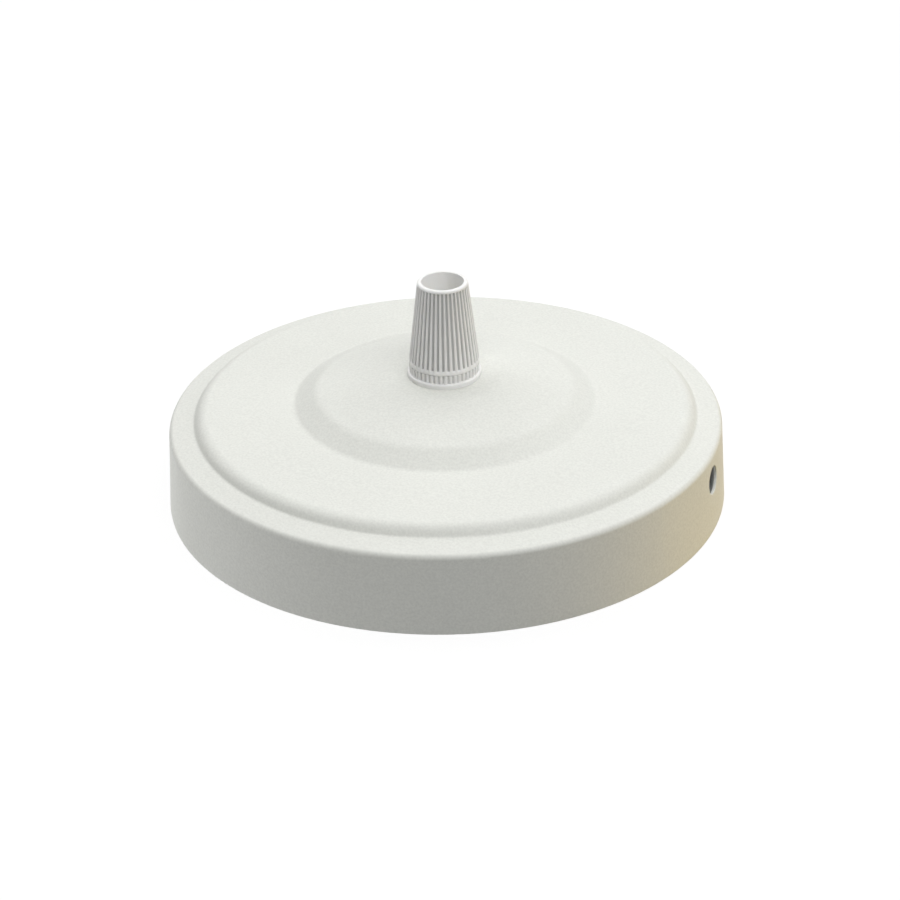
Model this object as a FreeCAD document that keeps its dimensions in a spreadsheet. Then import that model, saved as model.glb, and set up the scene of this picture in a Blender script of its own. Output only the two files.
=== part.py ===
import FreeCAD, Part
import math
import os
import re

import Sketcher

# Ceiling rose: a pressed steel canopy with a screw-down cord grip on its crown, and behind it the
# strap, earth stud and terminal block. The rim plane is z = 0, the grip axis is +Z and the side
# screw holes lie on the X axis. All lengths are in millimetres.

SIZES = {
    # Canopy pressing, on its outer surface from the rim inwards
    "canopy_dia": 108.0,
    "canopy_height": 25.0,
    "sheet": 0.6,
    "wall_draft": 0.8,
    "shoulder_height": 16.2,
    "shoulder_round": 2.0,
    "ledge_width": 4.1,
    "ledge_rise": 0.8,
    "step_width": 1.3,
    "step_rise": 1.4,
    "step_foot_round": 0.3,
    "step_top_round": 3.9,
    "plateau_dia": 58.2,
    "plateau_rise": 1.1,
    "swage_width": 4.4,
    "swage_rise": 2.2,
    "swage_foot_round": 2.0,
    "swage_top_round": 5.0,
    "seat_dia": 17.0,
    "seat_round": 3.0,
    "side_hole_dia": 5.4,
    "side_hole_height": 10.6,
    # Cord grip base
    "thread_dia": 10.0,
    "stem_length": 8.0,
    "stem_clear": 0.2,
    "cord_bore": 6.8,
    "flange_dia": 14.2,
    "flange_thickness": 1.0,
    "flange_round": 0.3,
    "collar_dia": 13.4,
    "collar_height": 1.6,
    "collar_teeth": 45,
    "tooth_gap": 0.4,
    "tooth_depth": 0.35,
    "spigot_height": 5.4,
    "taper_mouth_dia": 8.8,
    "taper_foot_dia": 7.7,
    "taper_depth": 3.6,
    # Cord grip cap
    "seam": 0.1,
    "cap_height": 16.8,
    "cap_ring_height": 0.9,
    "cap_top_dia": 9.6,
    "mouth_dia": 8.0,
    "lip_round": 0.45,
    "thread_clear": 0.08,
    "flute_count": 40,
    "flute_width": 0.44,
    "flute_depth": 0.4,
    "flute_end": 0.75,
    # Clamping collet, captive in the cap
    "fit": 0.08,
    "collet_ring_dia": 9.2,
    "collet_ring_height": 0.8,
    "collet_sleeve_dia": 8.2,
    "collet_sleeve_height": 4.0,
    "bead_height": 0.4,
    "bead_catch": 0.1,
    "slit_width": 0.7,
    "slit_count": 4,
    "slit_depth": 7.0,
    # Stem fixing under the crown
    "washer_dia": 15.5,
    "washer_thickness": 0.9,
    "washer_teeth": 12,
    "washer_notch": 1.3,
    "washer_notch_depth": 1.2,
    "nut_flats": 14.0,
    "nut_height": 3.0,
    "nut_clear": 0.05,
    # Strap bracket
    "strap_width": 16.0,
    "strap_thickness": 2.0,
    "strap_bend": 1.5,
    "ear_height": 14.6,
    "ear_round": 4.0,
    "ear_clear": 0.3,
    "ear_tap_dia": 3.3,
    "slot_spacing": 70.0,
    "slot_length": 18.0,
    "slot_width": 4.8,
    "entry_dia": 10.0,
    # Earth stud on the strap
    "earth_place": 15.0,
    "stud_dia": 4.0,
    "stud_length": 11.0,
    "stud_head_dia": 6.4,
    "stud_head_height": 1.0,
    "earth_washer_dia": 8.0,
    "earth_washer_thickness": 0.6,
    "earth_notch": 0.6,
    "earth_notch_depth": 0.8,
    "earth_teeth": 10,
    "earth_nut_flats": 7.0,
    "earth_nut_height": 3.2,
    # Terminal block on the strap
    "block_place": 15.2,
    "pole_pitch": 8.0,
    "block_depth": 16.0,
    "block_height": 9.0,
    "tower_height": 12.6,
    "tower_width": 12.4,
    "block_round": 0.8,
    "pole_gap": 1.4,
    "peg_dia": 4.0,
    "barrel_dia": 4.8,
    "barrel_bore": 3.2,
    "barrel_length": 11.0,
    "barrel_height": 5.0,
    "wire_entry_dia": 3.8,
    "clamp_spacing": 6.4,
    "clamp_dia": 2.5,
    "clamp_length": 5.0,
    "clamp_well_dia": 3.3,
    "clamp_slot_width": 0.5,
    "clamp_slot_depth": 0.8,
}

TOUCH = 1e-4

RIM = "canopy_dia / 2"
SHOULDER = "canopy_dia / 2 - wall_draft"
CROWN_INSIDE = "canopy_height - sheet"
FLANGE_TOP = "stem_length + flange_thickness"
COLLAR_TOP = FLANGE_TOP + " + collar_height"
SPIGOT_TOP = COLLAR_TOP + " + spigot_height"
TAPER_FOOT = SPIGOT_TOP + " - taper_depth"
BEAD_FOOT = "spigot_height - seam + fit"
RING_SPACE = BEAD_FOOT + " + bead_height"
RING_SPACE_TOP = RING_SPACE + " + collet_ring_height + 2 * fit"
SLEEVE_TOP = RING_SPACE_TOP + " + collet_sleeve_height"
EAR_FACE = "sqrt((canopy_dia / 2 - wall_draft - sheet) ^ 2 - strap_width ^ 2 / 4) - ear_clear"


doc = FreeCAD.newDocument("CeilingRose")
sheet = doc.addObject("Spreadsheet::Sheet", "Sizes")
for row, (name, size) in enumerate(SIZES.items(), start=1):
    sheet.set("A%d" % row, name)
    sheet.set("B%d" % row, str(size))
    sheet.setAlias("B%d" % row, name)
doc.recompute()


def full(expression):
    """Put the sheet's name before each of its aliases in an expression."""
    return re.sub(r"\b[a-z][a-z_]+\b(?!\()", lambda word: "Sizes." + word.group(), expression)


def value(expression):
    return float(sheet.evalExpression(full(expression)))


# Sketches

def new_body(label, height="0", across="0"):
    """A body whose origin lies at an expression of the sheet on the X axis and above the rim plane."""
    body = doc.addObject("PartDesign::Body", label)
    body.Label = label
    body.setExpression("Placement.Base.x", full(across))
    body.setExpression("Placement.Base.z", full(height))
    return body


def origin_feature(body, role):
    return next(item for item in body.Origin.OriginFeatures if item.Role == role)


def new_sketch(body, plane, name, lift="0"):
    sketch = body.newObject("Sketcher::SketchObject", name)
    sketch.AttachmentSupport = [(origin_feature(body, plane), "")]
    sketch.MapMode = "FlatFace"
    sketch.setExpression("AttachmentOffset.Base.z", full(lift))
    return sketch


def bind(sketch, constraint, expression):
    number = sketch.addConstraint(constraint)
    sketch.setExpression("Constraints[%d]" % number, full(expression))


def pin(sketch, geometry, vertex, across, up):
    """Hold a vertex of a sketch at two expressions of the sheet; "0" holds it on that axis."""
    for kind, place, axis in (("DistanceX", across, -2), ("DistanceY", up, -1)):
        if place == "0":
            sketch.addConstraint(Sketcher.Constraint("PointOnObject", geometry, vertex, axis))
        else:
            bind(sketch, Sketcher.Constraint(kind, -1, 1, geometry, vertex, value(place)), place)


def point(across, up):
    return FreeCAD.Vector(value(across), value(up), 0)


def rounded_corner(before, corner, after, radius):
    """Where an arc of a radius that rounds a corner starts, passes its middle and ends."""
    back = (before - corner).normalize()
    ahead = (after - corner).normalize()
    half_angle = back.getAngle(ahead) / 2
    run = radius / math.tan(half_angle)
    bisector = (back + ahead).normalize()
    middle = corner + bisector * (radius / math.sin(half_angle) - radius)
    return corner + back * run, middle, corner + ahead * run


def outline(sketch, corners):
    """A closed outline through corners, each (across, up) or (across, up, radius) in expressions.

    A radius rounds its corner with an arc tangent to both sides; the corner itself stays as a
    construction point that carries the dimensions.
    """
    first = sketch.GeometryCount
    count = len(corners)
    spots = [point(*corner[:2]) for corner in corners]
    bends = [(spot, spot, spot) for spot in spots]
    for number, corner in enumerate(corners):
        if len(corner) == 3:
            after = spots[(number + 1) % count]
            bends[number] = rounded_corner(spots[number - 1], spots[number], after, value(corner[2]))
    for number in range(count):
        side = Part.LineSegment(bends[number][2], bends[(number + 1) % count][0])
        sketch.addGeometry(side, False)
    for number, corner in enumerate(corners):
        before = first + (number - 1) % count
        after = first + number
        if len(corner) == 2:
            sketch.addConstraint(Sketcher.Constraint("Coincident", before, 2, after, 1))
            pin(sketch, after, 1, *corner)
            continue
        start, middle, end = bends[number]
        left_turn = (middle - start).cross(end - middle).z > 0
        arc = sketch.addGeometry(Part.Arc(*(bends[number] if left_turn else bends[number][::-1])), False)
        enter, leave = (1, 2) if left_turn else (2, 1)
        sketch.addConstraint(Sketcher.Constraint("Tangent", before, 2, arc, enter))
        sketch.addConstraint(Sketcher.Constraint("Tangent", arc, leave, after, 1))
        bind(sketch, Sketcher.Constraint("Radius", arc, value(corner[2])), corner[2])
        mark = sketch.addGeometry(Part.Point(spots[number]), True)
        sketch.addConstraint(Sketcher.Constraint("PointOnObject", mark, 1, before))
        sketch.addConstraint(Sketcher.Constraint("PointOnObject", mark, 1, after))
        pin(sketch, mark, 1, *corner[:2])


def rectangle(sketch, left, right, low, high):
    outline(sketch, [(left, low), (right, low), (right, high), (left, high)])


def circle(sketch, diameter, across="0", up="0"):
    shape = Part.Circle(point(across, up), FreeCAD.Vector(0, 0, 1), value(diameter) / 2)
    number = sketch.addGeometry(shape, False)
    pin(sketch, number, 3, across, up)
    bind(sketch, Sketcher.Constraint("Diameter", number, value(diameter)), diameter)


def slot(sketch, left, right, width):
    """A slot along the sketch's X axis between the centres of its two round ends."""
    radius = value(width) / 2
    up = FreeCAD.Vector(0, radius, 0)
    out = FreeCAD.Vector(radius, 0, 0)
    start = point(left, "0")
    end = point(right, "0")
    first = sketch.GeometryCount
    sketch.addGeometry(Part.Arc(start + up, start - out, start - up), False)
    sketch.addGeometry(Part.LineSegment(start - up, end - up), False)
    sketch.addGeometry(Part.Arc(end - up, end + out, end + up), False)
    sketch.addGeometry(Part.LineSegment(end + up, start + up), False)
    for number in range(4):
        after = first + (number + 1) % 4
        sketch.addConstraint(Sketcher.Constraint("Tangent", first + number, 2, after, 1))
    pin(sketch, first, 3, left, "0")
    pin(sketch, first + 2, 3, right, "0")
    bind(sketch, Sketcher.Constraint("Diameter", first, value(width)), width)


def arch(sketch, width, height):
    """A straight-sided slot standing on the sketch's X axis, with a round head."""
    half = width + " / 2"
    spring = "%s - %s" % (height, half)
    low_left = point("-" + half, "0")
    low_right = point(half, "0")
    high_right = point(half, spring)
    high_left = point("-" + half, spring)
    sketch.addGeometry(Part.LineSegment(low_left, low_right), False)
    sketch.addGeometry(Part.LineSegment(low_right, high_right), False)
    sketch.addGeometry(Part.Arc(high_right, point("0", height), high_left), False)
    sketch.addGeometry(Part.LineSegment(high_left, low_left), False)
    sketch.addConstraint(Sketcher.Constraint("Coincident", 0, 2, 1, 1))
    sketch.addConstraint(Sketcher.Constraint("Tangent", 1, 2, 2, 1))
    sketch.addConstraint(Sketcher.Constraint("Tangent", 2, 2, 3, 1))
    sketch.addConstraint(Sketcher.Constraint("Coincident", 3, 2, 0, 1))
    pin(sketch, 0, 1, "-" + half, "0")
    pin(sketch, 0, 2, half, "0")
    pin(sketch, 2, 3, "0", spring)


# Features

def revolve(body, name, corners):
    """Turn a half section, given as corners at (radius, height), about the body's Z axis."""
    sketch = new_sketch(body, "XZ_Plane", name + "Section")
    outline(sketch, corners)
    feature = body.newObject("PartDesign::Revolution", name)
    feature.Profile = sketch
    feature.ReferenceAxis = (sketch, ["V_Axis"])
    feature.Angle = 360
    doc.recompute()
    return feature


def pad(body, name, sketch, length, midplane=False):
    feature = body.newObject("PartDesign::Pad", name)
    feature.Profile = sketch
    feature.SideType = "Symmetric" if midplane else "One side"
    feature.setExpression("Length", full(length))
    doc.recompute()
    return feature


def must_cut(feature, volume):
    if feature.Shape.isNull() or feature.Shape.Volume > volume - TOUCH:
        raise RuntimeError(feature.Label + " cuts nothing")
    return feature


def pocket(body, name, sketch, depth=None, upwards=False):
    """Cut a sketch to a depth below its plane, or above it, or through all both ways with no depth."""
    before = body.Shape.Volume
    feature = body.newObject("PartDesign::Pocket", name)
    feature.Profile = sketch
    if depth is None:
        feature.SideType = "Symmetric"
        feature.Type = "ThroughAll"
    else:
        feature.setExpression("Length", full(depth))
        feature.Reversed = upwards
    doc.recompute()
    return must_cut(feature, before)


def groove(body, name, sketch, axis):
    before = body.Shape.Volume
    feature = body.newObject("PartDesign::Groove", name)
    feature.Profile = sketch
    feature.ReferenceAxis = (sketch, [axis])
    feature.Angle = 360
    doc.recompute()
    return must_cut(feature, before)


def polar(body, name, original, count):
    feature = body.newObject("PartDesign::PolarPattern", name)
    feature.Originals = [original]
    feature.Axis = (origin_feature(body, "Z_Axis"), [""])
    feature.Angle = 360
    feature.setExpression("Occurrences", full(count))
    body.Tip = feature
    doc.recompute()
    return feature


def fillet(body, name, edges, radius):
    base = body.Tip
    feature = body.newObject("PartDesign::Fillet", name)
    feature.Base = (base, edges)
    feature.setExpression("Radius", full(radius))
    doc.recompute()
    return feature


def straight_edges(body, along, **places):
    """Names of the straight edges along an axis whose middle lies at the given |x|, |y| or z."""
    names = []
    for number, edge in enumerate(body.Tip.Shape.Edges, start=1):
        if not isinstance(edge.Curve, Part.Line) or abs(getattr(edge.Curve.Direction, along)) < 1 - TOUCH:
            continue
        middle = edge.CenterOfMass
        if all(abs(abs(getattr(middle, axis)) - value(place)) < TOUCH for axis, place in places.items()):
            names.append("Edge%d" % number)
    return names


# Canopy

def make_canopy():
    """One pressing: its sheet section, the wall a little drawn in, is turned and pierced at both sides."""
    body = new_body("canopy")
    hole = "thread_dia / 2 + stem_clear"
    ledge = (SHOULDER + " - ledge_width", "shoulder_height + ledge_rise")
    step = (ledge[0] + " - step_width", ledge[1] + " + step_rise")
    plateau = ("plateau_dia / 2", step[1] + " + plateau_rise")
    dome = (plateau[0] + " - swage_width", plateau[1] + " + swage_rise")
    seat = ("seat_dia / 2", "canopy_height")
    tight = "max(%s - sheet; sheet / 4)"
    wide = "%s + sheet"
    bends = [
        (ledge, "step_foot_round", wide),
        (step, "step_top_round", tight),
        (plateau, "swage_foot_round", wide),
        (dome, "swage_top_round", tight),
        (seat, "seat_round", tight),
    ]
    outside = [(RIM, "0"), (SHOULDER, "shoulder_height", "shoulder_round")]
    inside = [
        (RIM + " - sheet", "0"),
        (SHOULDER + " - sheet", "shoulder_height - sheet", tight % "shoulder_round"),
    ]
    for (across, up), radius, within in bends:
        outside.append((across, up, radius))
        inside.append((across, up + " - sheet", within % radius))
    outside.append((hole, "canopy_height"))
    inside.append((hole, CROWN_INSIDE))
    revolve(body, "Pressing", outside + inside[::-1])
    side = new_sketch(body, "YZ_Plane", "SideHole")
    circle(side, "side_hole_dia", up="side_hole_height")
    pocket(body, "SideHoleCut", side)
    return body


# Cord grip

def make_grip_base():
    """Hollow threaded stem, flange, toothed collar and tapered spigot in one moulding."""
    body = new_body("grip_base", "canopy_height - stem_length")
    bore = "cord_bore / 2"
    thread = "thread_dia / 2"
    flange = "flange_dia / 2"
    collar = "collar_dia / 2"
    revolve(body, "Turned", [
        (bore, "0"), (thread, "0"), (thread, "stem_length"), (flange, "stem_length"),
        (flange, FLANGE_TOP, "flange_round"), (collar, FLANGE_TOP), (collar, COLLAR_TOP),
        (thread, COLLAR_TOP), (thread, SPIGOT_TOP),
        ("taper_mouth_dia / 2", SPIGOT_TOP), ("taper_foot_dia / 2", TAPER_FOOT), (bore, TAPER_FOOT),
    ])
    gap = new_sketch(body, "XY_Plane", "ToothGap", COLLAR_TOP)
    reach = collar + " + tooth_depth / 10"
    rectangle(gap, collar + " - tooth_depth", reach, "-tooth_gap / 2", "tooth_gap / 2")
    cut = pocket(body, "ToothGapCut", gap, "collar_height")
    polar(body, "CollarTeeth", cut, "collar_teeth")
    return body


def make_grip_cap():
    """Fluted cone with a plain foot ring and lip; inside, a thread bore, the collet's seat and the mouth."""
    body = new_body("grip_cap", "canopy_height + flange_thickness + collar_height + seam")
    outer = "collar_dia / 2"
    top = "cap_top_dia / 2"
    mouth = "mouth_dia / 2"
    thread = "thread_dia / 2 + thread_clear"
    bead = "collet_ring_dia / 2 - bead_catch"
    seat = "collet_ring_dia / 2 + fit"
    sleeve = "collet_sleeve_dia / 2 + fit"
    lip = "min(lip_round; 0.9 * (cap_top_dia - mouth_dia) / 2)"
    revolve(body, "Turned", [
        (thread, "0"), (outer, "0"), (outer, "cap_ring_height"), (top, "cap_height", lip),
        (mouth, "cap_height"), (mouth, SLEEVE_TOP), (sleeve, SLEEVE_TOP), (sleeve, RING_SPACE_TOP),
        (seat, RING_SPACE_TOP), (seat, RING_SPACE), (bead, RING_SPACE), (bead, BEAD_FOOT),
        (thread, BEAD_FOOT),
    ])
    polar(body, "Flutes", cut_flute(body), "flute_count")
    return body


def cut_flute(body):
    """One flute: a flat-floored slot cut square to the cone's slope, with a round head."""
    slope = "atan((collar_dia - cap_top_dia) / 2 / (cap_height - cap_ring_height))"
    floor = "collar_dia / 2 - flute_depth / cos(%s)" % slope
    run = "(cap_height - cap_ring_height - flute_end) / cos(%s)" % slope
    sketch = new_sketch(body, "YZ_Plane", "Flute", floor)
    tilted = FreeCAD.Rotation(FreeCAD.Vector(1, 0, 0), -1)
    sketch.AttachmentOffset = FreeCAD.Placement(FreeCAD.Vector(), tilted)
    sketch.setExpression("AttachmentOffset.Base.y", full("cap_ring_height"))
    sketch.setExpression("AttachmentOffset.Rotation.Angle", full("-" + slope))
    arch(sketch, "flute_width", run)
    return pocket(body, "FluteCut", sketch, "2 * flute_depth", upwards=True)


def make_clamp_collet():
    """Split sleeve: tapered fingers in the spigot, a ring held in the cap and a plain upper sleeve."""
    body = new_body("clamp_collet", "canopy_height - stem_length + " + TAPER_FOOT + " + 3 * fit")
    bore = "cord_bore / 2"
    ring = "collet_ring_dia / 2"
    sleeve = "collet_sleeve_dia / 2"
    mouth = "taper_mouth_dia / 2 - fit"
    lean = "((taper_mouth_dia - taper_foot_dia) / 2 / taper_depth)"
    finger_top = "taper_depth - 3 * fit"
    ring_foot = finger_top + " + 2 * fit + bead_height"
    ring_top = ring_foot + " + collet_ring_height"
    collet_top = ring_top + " + collet_sleeve_height"
    revolve(body, "Turned", [
        (bore, "0"), ("taper_foot_dia / 2 - fit + %s * 3 * fit" % lean, "0"), (mouth, finger_top),
        (mouth, ring_foot), (ring, ring_foot), (ring, ring_top), (sleeve, ring_top), (sleeve, collet_top),
        (bore, collet_top),
    ])
    slit = new_sketch(body, "XY_Plane", "Slit")
    rectangle(slit, "cord_bore / 4", ring + " + slit_width", "-slit_width / 2", "slit_width / 2")
    cut = pocket(body, "SlitCut", slit, "slit_depth", upwards=True)
    polar(body, "Fingers", cut, "slit_count")
    return body


# Washers and nuts

def make_tooth_washer(label, height, across, hole, rim, thickness, notch, notch_depth, teeth):
    """Flat washer with notches that leave teeth round its hole."""
    body = new_body(label, height, across)
    ring = new_sketch(body, "XY_Plane", "Ring")
    circle(ring, hole)
    circle(ring, rim)
    pad(body, "Plate", ring, thickness)
    gap = new_sketch(body, "XY_Plane", "Notch")
    rectangle(gap, hole + " / 4", "(%s) / 2 + %s" % (hole, notch_depth), "-%s / 2" % notch, "%s / 2" % notch)
    cut = pocket(body, "NotchCut", gap)
    polar(body, "Teeth", cut, teeth)
    return body


def make_hex_nut(label, height, across, flats, thickness, bore):
    """Hexagon nut with both faces chamfered and a plain bore at the thread's size."""
    body = new_body(label, height, across)
    half = flats + " / 2"
    corner = flats + " / sqrt(3)"
    low_corner = corner + " / 2"
    hexagon = new_sketch(body, "XY_Plane", "Hexagon")
    outline(hexagon, [
        ("0", corner), ("-" + half, low_corner), ("-" + half, "-" + low_corner),
        ("0", "-" + corner), (half, "-" + low_corner), (half, low_corner),
    ])
    pad(body, "Blank", hexagon, thickness)
    face = "0.475 * " + flats
    reach = "0.65 * " + flats
    drop = "(%s - %s) / sqrt(3)" % (reach, face)
    corners = new_sketch(body, "XZ_Plane", "CornerChamfers")
    outline(corners, [(face, "0"), (reach, "0"), (reach, drop)])
    outline(corners, [(face, thickness), (reach, thickness), (reach, thickness + " - " + drop)])
    groove(body, "ChamferCut", corners, "V_Axis")
    hole = new_sketch(body, "XY_Plane", "Bore")
    circle(hole, bore)
    pocket(body, "BoreCut", hole)
    return body


# Strap bracket and earth stud

def make_strap_bracket():
    """Flat strap folded up at both ends; slots for ceiling screws, a cable entry and tapped ears."""
    body = new_body("strap_bracket")
    face = EAR_FACE
    inside = face + " - strap_thickness"
    outer_bend = "strap_bend + strap_thickness"
    fold = new_sketch(body, "XZ_Plane", "Fold")
    outline(fold, [
        ("-(%s)" % face, "0", outer_bend), (face, "0", outer_bend), (face, "ear_height"),
        (inside, "ear_height"), (inside, "strap_thickness", "strap_bend"),
        ("-(%s)" % inside, "strap_thickness", "strap_bend"), ("-(%s)" % inside, "ear_height"),
        ("-(%s)" % face, "ear_height"),
    ])
    pad(body, "Folded", fold, "strap_width", midplane=True)
    ear_corners = straight_edges(body, "x", y="strap_width / 2", z="ear_height")
    fillet(body, "EarCorners", ear_corners, "ear_round")
    taps = new_sketch(body, "YZ_Plane", "EarTaps")
    circle(taps, "ear_tap_dia", up="side_hole_height")
    pocket(body, "EarTapCut", taps)
    holes = new_sketch(body, "XY_Plane", "StrapHoles")
    near = "slot_spacing / 2 - (slot_length - slot_width) / 2"
    far = "slot_spacing / 2 + (slot_length - slot_width) / 2"
    slot(holes, near, far, "slot_width")
    slot(holes, "-(%s)" % far, "-(%s)" % near, "slot_width")
    circle(holes, "entry_dia")
    circle(holes, "stud_dia + 2 * fit", across="-earth_place")
    circle(holes, "peg_dia + 2 * fit", across="block_place")
    pocket(body, "StrapHoleCut", holes)
    recess = new_sketch(body, "XY_Plane", "StudRecess")
    circle(recess, "stud_head_dia + 2 * fit", across="-earth_place")
    pocket(body, "StudRecessCut", recess, "stud_head_height", upwards=True)
    return body


def make_earth_stud():
    body = new_body("earth_stud", across="-earth_place")
    head = "stud_head_dia / 2"
    shank = "stud_dia / 2"
    revolve(body, "Turned", [
        ("0", "0"), (head, "0"), (head, "stud_head_height"), (shank, "stud_head_height"),
        (shank, "stud_length"), ("0", "stud_length"),
    ])
    return body


# Terminal block

def make_terminal_block():
    """Two-pole moulding: stepped section, a gap between the poles, bores for tubes and wells for screws."""
    body = new_body("terminal_block", "strap_thickness", "block_place")
    depth = "block_depth / 2"
    tower = "tower_width / 2"
    section = new_sketch(body, "YZ_Plane", "Section")
    outline(section, [
        ("-" + depth, "0"), (depth, "0"), (depth, "block_height", "block_round"), (tower, "block_height"),
        (tower, "tower_height", "block_round"), ("-" + tower, "tower_height", "block_round"),
        ("-" + tower, "block_height"), ("-" + depth, "block_height", "block_round"),
    ])
    pad(body, "Moulding", section, "2 * pole_pitch", midplane=True)
    gap = new_sketch(body, "XZ_Plane", "PoleGap")
    rectangle(gap, "-pole_gap / 2", "pole_gap / 2", "barrel_height", "2 * tower_height")
    pocket(body, "PoleGapCut", gap)
    tubes = new_sketch(body, "XZ_Plane", "WireWays")
    for pole in ("-pole_pitch / 2", "pole_pitch / 2"):
        circle(tubes, "wire_entry_dia", pole, "barrel_height")
    pocket(body, "WireWayCut", tubes)
    seats = new_sketch(body, "XZ_Plane", "TubeSeats", "-barrel_length / 2 - fit")
    for pole in ("-pole_pitch / 2", "pole_pitch / 2"):
        circle(seats, "barrel_dia + 2 * nut_clear", pole, "barrel_height")
    pocket(body, "TubeSeatCut", seats, "barrel_length + 2 * fit", upwards=True)
    wells = new_sketch(body, "XY_Plane", "ScrewWells", "barrel_height")
    for pole in ("-pole_pitch / 2", "pole_pitch / 2"):
        for end in ("-clamp_spacing / 2", "clamp_spacing / 2"):
            circle(wells, "clamp_well_dia", pole, end)
    pocket(body, "ScrewWellCut", wells, "2 * tower_height", upwards=True)
    foot = new_sketch(body, "XY_Plane", "Peg", "-strap_thickness")
    circle(foot, "peg_dia")
    pad(body, "PegPad", foot, "strap_thickness")
    return body


def make_terminal_barrels():
    """Two brass tubes side by side, each drilled for its pair of clamp screws."""
    body = new_body("terminal_barrels", "strap_thickness + barrel_height", "block_place")
    section = new_sketch(body, "XZ_Plane", "Tubes")
    for pole in ("-pole_pitch / 2", "pole_pitch / 2"):
        circle(section, "barrel_dia", pole)
        circle(section, "barrel_bore", pole)
    pad(body, "TubePad", section, "barrel_length", midplane=True)
    taps = new_sketch(body, "XY_Plane", "ClampTaps")
    for pole in ("-pole_pitch / 2", "pole_pitch / 2"):
        for end in ("-clamp_spacing / 2", "clamp_spacing / 2"):
            circle(taps, "clamp_dia + 2 * nut_clear", pole, end)
    pocket(body, "ClampTapCut", taps, "barrel_dia", upwards=True)
    return body


def make_terminal_screws():
    """Four slotted clamp screws, started in the tubes."""
    tube_wall = "(barrel_dia - barrel_bore) / 2"
    foot = "strap_thickness + barrel_height + barrel_dia / 2 - " + tube_wall
    body = new_body("terminal_screws", foot, "block_place")
    shanks = new_sketch(body, "XY_Plane", "Shanks")
    for pole in ("-pole_pitch / 2", "pole_pitch / 2"):
        for end in ("-clamp_spacing / 2", "clamp_spacing / 2"):
            circle(shanks, "clamp_dia", pole, end)
    pad(body, "ShankPad", shanks, "clamp_length")
    slots = new_sketch(body, "XY_Plane", "Slots", "clamp_length")
    for end in ("-clamp_spacing / 2", "clamp_spacing / 2"):
        low = end + " - clamp_slot_width / 2"
        high = end + " + clamp_slot_width / 2"
        rectangle(slots, "-pole_pitch", "pole_pitch", low, high)
    pocket(body, "SlotCut", slots, "clamp_slot_depth")
    return body


# Assembly

parts = [
    make_canopy(),
    make_grip_base(),
    make_grip_cap(),
    make_clamp_collet(),
    make_tooth_washer(
        "lock_washer", CROWN_INSIDE + " - washer_thickness", "0", "(thread_dia + 2 * stem_clear)",
        "washer_dia", "washer_thickness", "washer_notch", "washer_notch_depth", "washer_teeth",
    ),
    make_hex_nut(
        "lock_nut", CROWN_INSIDE + " - washer_thickness - nut_height", "0", "nut_flats", "nut_height",
        "thread_dia + 2 * nut_clear",
    ),
    make_strap_bracket(),
    make_earth_stud(),
    make_tooth_washer(
        "earth_washer", "strap_thickness", "-earth_place", "(stud_dia + 2 * fit)", "earth_washer_dia",
        "earth_washer_thickness", "earth_notch", "earth_notch_depth", "earth_teeth",
    ),
    make_hex_nut(
        "earth_nut", "strap_thickness + earth_washer_thickness", "-earth_place", "earth_nut_flats",
        "earth_nut_height", "stud_dia + 2 * nut_clear",
    ),
    make_terminal_block(),
    make_terminal_barrels(),
    make_terminal_screws(),
]
doc.recompute()

for item in doc.Objects:
    if "Invalid" in item.State or "Error" in item.State:
        raise RuntimeError("%s did not build: %s" % (item.Label, item.State))
for part in parts:
    if part.Shape.isNull() or not part.Shape.isValid() or not part.Shape.Solids:
        raise RuntimeError(part.Label + " has no sound solid")

os.makedirs("parts", exist_ok=True)
for part in parts:
    part.Shape.exportStep(os.path.join("parts", part.Label + ".step"))
    box = part.Shape.BoundBox
    print("%-18s solids %d, volume %9.1f, z %6.2f to %6.2f" % (
        part.Label, len(part.Shape.Solids), part.Shape.Volume, box.ZMin, box.ZMax))
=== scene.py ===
import math

import bmesh
import bpy
import numpy as np
from bpy.props import FloatProperty, FloatVectorProperty, IntProperty, PointerProperty
from bpy.types import Operator, Panel, PropertyGroup
from mathutils import Matrix, Vector


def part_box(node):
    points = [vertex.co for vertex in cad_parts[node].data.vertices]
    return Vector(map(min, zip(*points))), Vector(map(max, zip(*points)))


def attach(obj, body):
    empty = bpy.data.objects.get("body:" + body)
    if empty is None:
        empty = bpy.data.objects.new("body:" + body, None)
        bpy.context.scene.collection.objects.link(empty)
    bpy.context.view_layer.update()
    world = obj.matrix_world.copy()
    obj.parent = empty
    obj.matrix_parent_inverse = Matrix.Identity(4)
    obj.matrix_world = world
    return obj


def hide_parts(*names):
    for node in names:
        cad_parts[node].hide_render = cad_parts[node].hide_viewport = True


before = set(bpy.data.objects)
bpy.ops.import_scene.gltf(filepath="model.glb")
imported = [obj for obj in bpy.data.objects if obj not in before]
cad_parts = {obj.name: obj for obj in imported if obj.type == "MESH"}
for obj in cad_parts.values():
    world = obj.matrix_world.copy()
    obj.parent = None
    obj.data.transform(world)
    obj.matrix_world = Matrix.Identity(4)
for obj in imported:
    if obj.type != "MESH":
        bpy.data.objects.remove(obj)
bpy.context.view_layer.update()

bl_info = {
    "name": "Ceiling rose",
    "version": (1, 0, 0),
    "blender": (4, 5, 0),
    "location": "3D View > Sidebar > Ceiling rose",
    "description": "Dresses the ceiling rose: pressed canopy, cord grip, fixings, terminals and stage",
    "category": "Object",
}

TURN = 2 * math.pi
WELD = 1e-6
CREASE = math.radians(32)

# Longest division of a straight run, in metres
CANOPY_SPACING = 0.0024
GRIP_SPACING = 0.0015
FLANGE_SPACING = 0.001

# Window of the wall round a side hole, in radii of the hole, and the rows up it, which round up to ten
WINDOW_REACH = 1.40
WINDOW_HALF_WIDTH = 1.57
WINDOW_ROWS = 9.9

# Rows up a flute
FLUTE_ROWS = 26

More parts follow.
